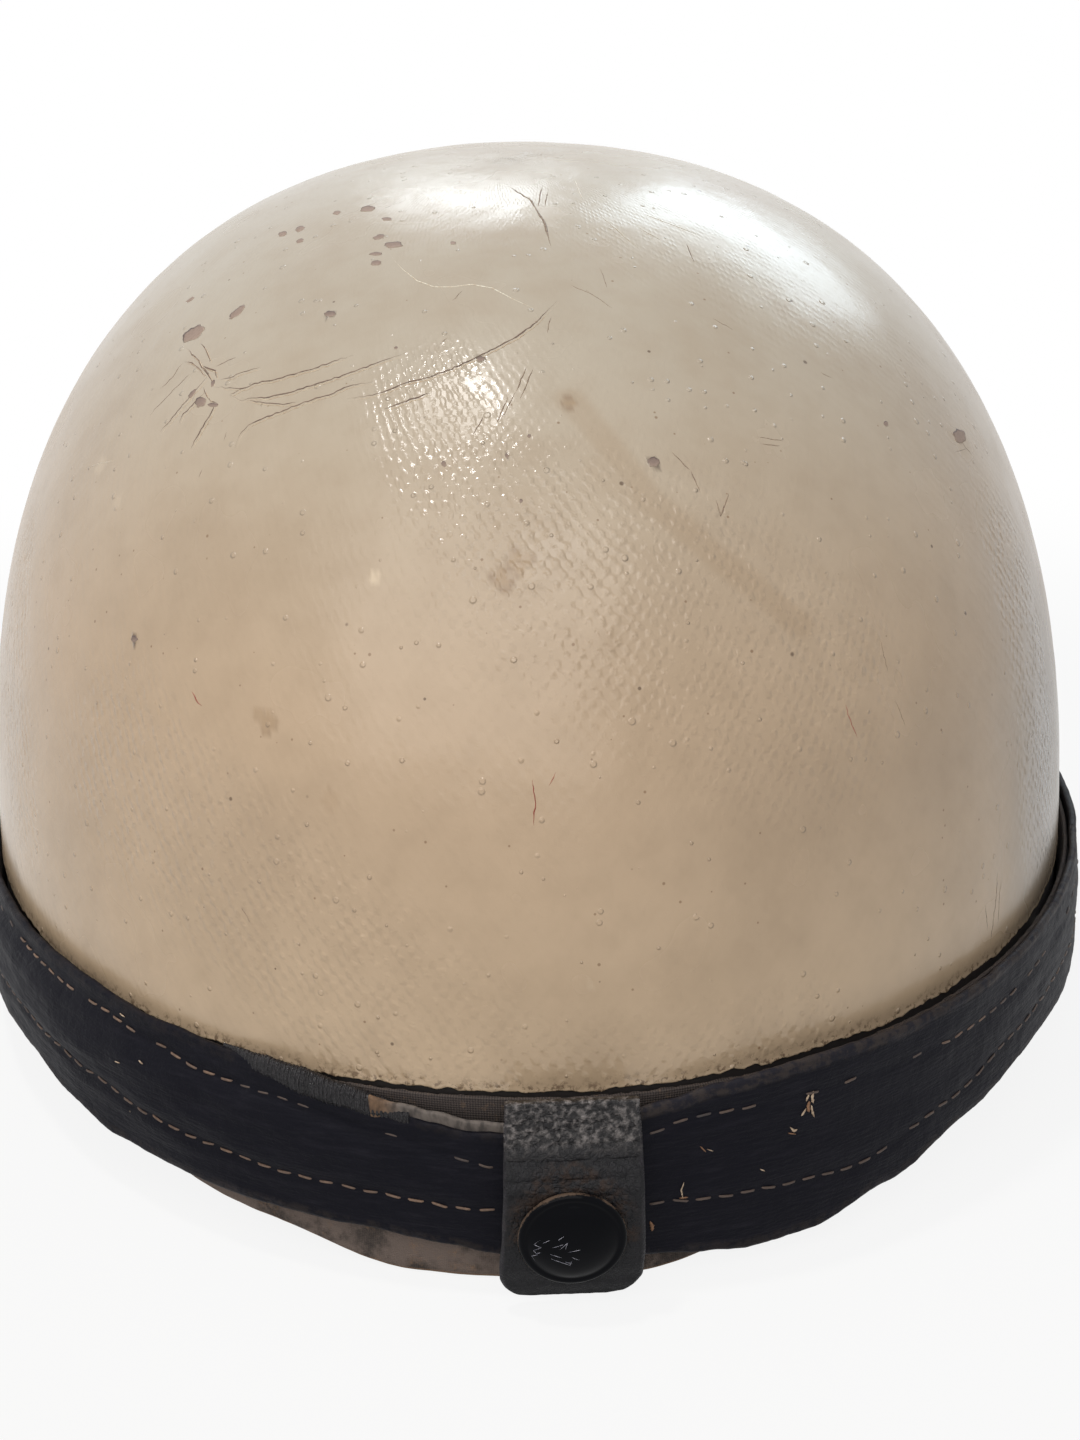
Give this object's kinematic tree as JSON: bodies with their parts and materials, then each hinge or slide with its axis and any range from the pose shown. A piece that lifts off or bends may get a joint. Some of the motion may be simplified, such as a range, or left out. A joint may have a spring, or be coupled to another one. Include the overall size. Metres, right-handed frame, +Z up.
{
  "type": "motorcycle helmet",
  "caption": "Vintage half-shell motorcycle helmet with a painted glass-fibre dome, stitched leather edge band, snap tab at the rear, cork liner, webbing cradle and buckled chin straps.",
  "frame": {"origin": "centre of the bounding box in plan, at the flat bottom of the rim binding", "axes": "+Y to the helmet's rear, where the snap tab is; +Z up through the crown; +X to the wearer's left"},
  "size_m": [0.233, 0.3006, 0.172],
  "materials": {
    "painted_shell": "aged cream gloss paint over glass-fibre cloth",
    "rim_cloth": "worn coated cloth",
    "lining_cloth": "dark woven strip",
    "band_leather": "worn black leather, two stitched rows",
    "tab_leather": "grained black leather",
    "snap_enamel": "glossy black enamel",
    "plated_steel": "dull plated steel",
    "cork": "pressed cork",
    "headband_leather": "smooth brown leather",
    "cradle_webbing": "cotton webbing",
    "strap_leather": "dark strap leather"
  },
  "bodies": {
    "root": {"shell": "painted_shell", "rim_binding": "rim_cloth", "band_lining": "lining_cloth", "leather_band": "band_leather", "tab_root": "tab_leather", "snap_stud": "plated_steel", "stud_rivet": "plated_steel", "cork_liner": "cork", "headband": "headband_leather", "cradle_strap_lengthwise": "cradle_webbing", "cradle_strap_left_diagonal": "cradle_webbing", "cradle_strap_right_diagonal": "cradle_webbing", "harness_rivet_1": "plated_steel", "harness_rivet_2": "plated_steel", "harness_rivet_3": "plated_steel", "harness_rivet_4": "plated_steel", "harness_rivet_5": "plated_steel", "harness_rivet_6": "plated_steel", "strap_rivet_left": "plated_steel", "strap_rivet_right": "plated_steel", "strap_washer_left": "plated_steel", "strap_washer_right": "plated_steel"},
    "tab": {"snap_tab": "tab_leather", "snap_cap": "snap_enamel", "snap_socket": "plated_steel", "cap_post": "plated_steel"},
    "long_strap": {"chin_strap_long": "strap_leather"},
    "short_strap": {"chin_strap_short": "strap_leather"},
    "buckle": {"buckle_frame": "plated_steel"},
    "prong": {"buckle_prong": "plated_steel"},
    "keeper": {"strap_keeper": "strap_leather"}
  },
  "joints": [
    {"name": "tab_hinge", "type": "hinge", "parent": "root", "child": "tab", "pos_m": [0, 0.1422, 0.03005], "axis": [1, 0, 0], "range_deg": [0, 140]},
    {"name": "long_strap_hinge", "type": "hinge", "parent": "root", "child": "long_strap", "pos_m": [0.1041, -0.0052, 0.0265], "axis": [-1, 0, 0], "range_deg": [0, 110]},
    {"name": "short_strap_hinge", "type": "hinge", "parent": "root", "child": "short_strap", "pos_m": [-0.1041, -0.0052, 0.0265], "axis": [-1, 0, 0], "range_deg": [0, 110]},
    {"name": "buckle_pivot", "type": "hinge", "parent": "short_strap", "child": "buckle", "pos_m": [-0.06536, 0.09692, 0.0265], "axis": [0, 0, -1], "range_deg": [0, 50]},
    {"name": "prong_pivot", "type": "hinge", "parent": "buckle", "child": "prong", "pos_m": [-0.06536, 0.09692, 0.0265], "axis": [0, 0, -1], "range_deg": [0, 90]},
    {"name": "keeper_slide", "type": "slide", "parent": "short_strap", "child": "keeper", "axis": [0.5443, 0.8389, 0], "range_m": [-0.005, 0.005]}
  ]
}
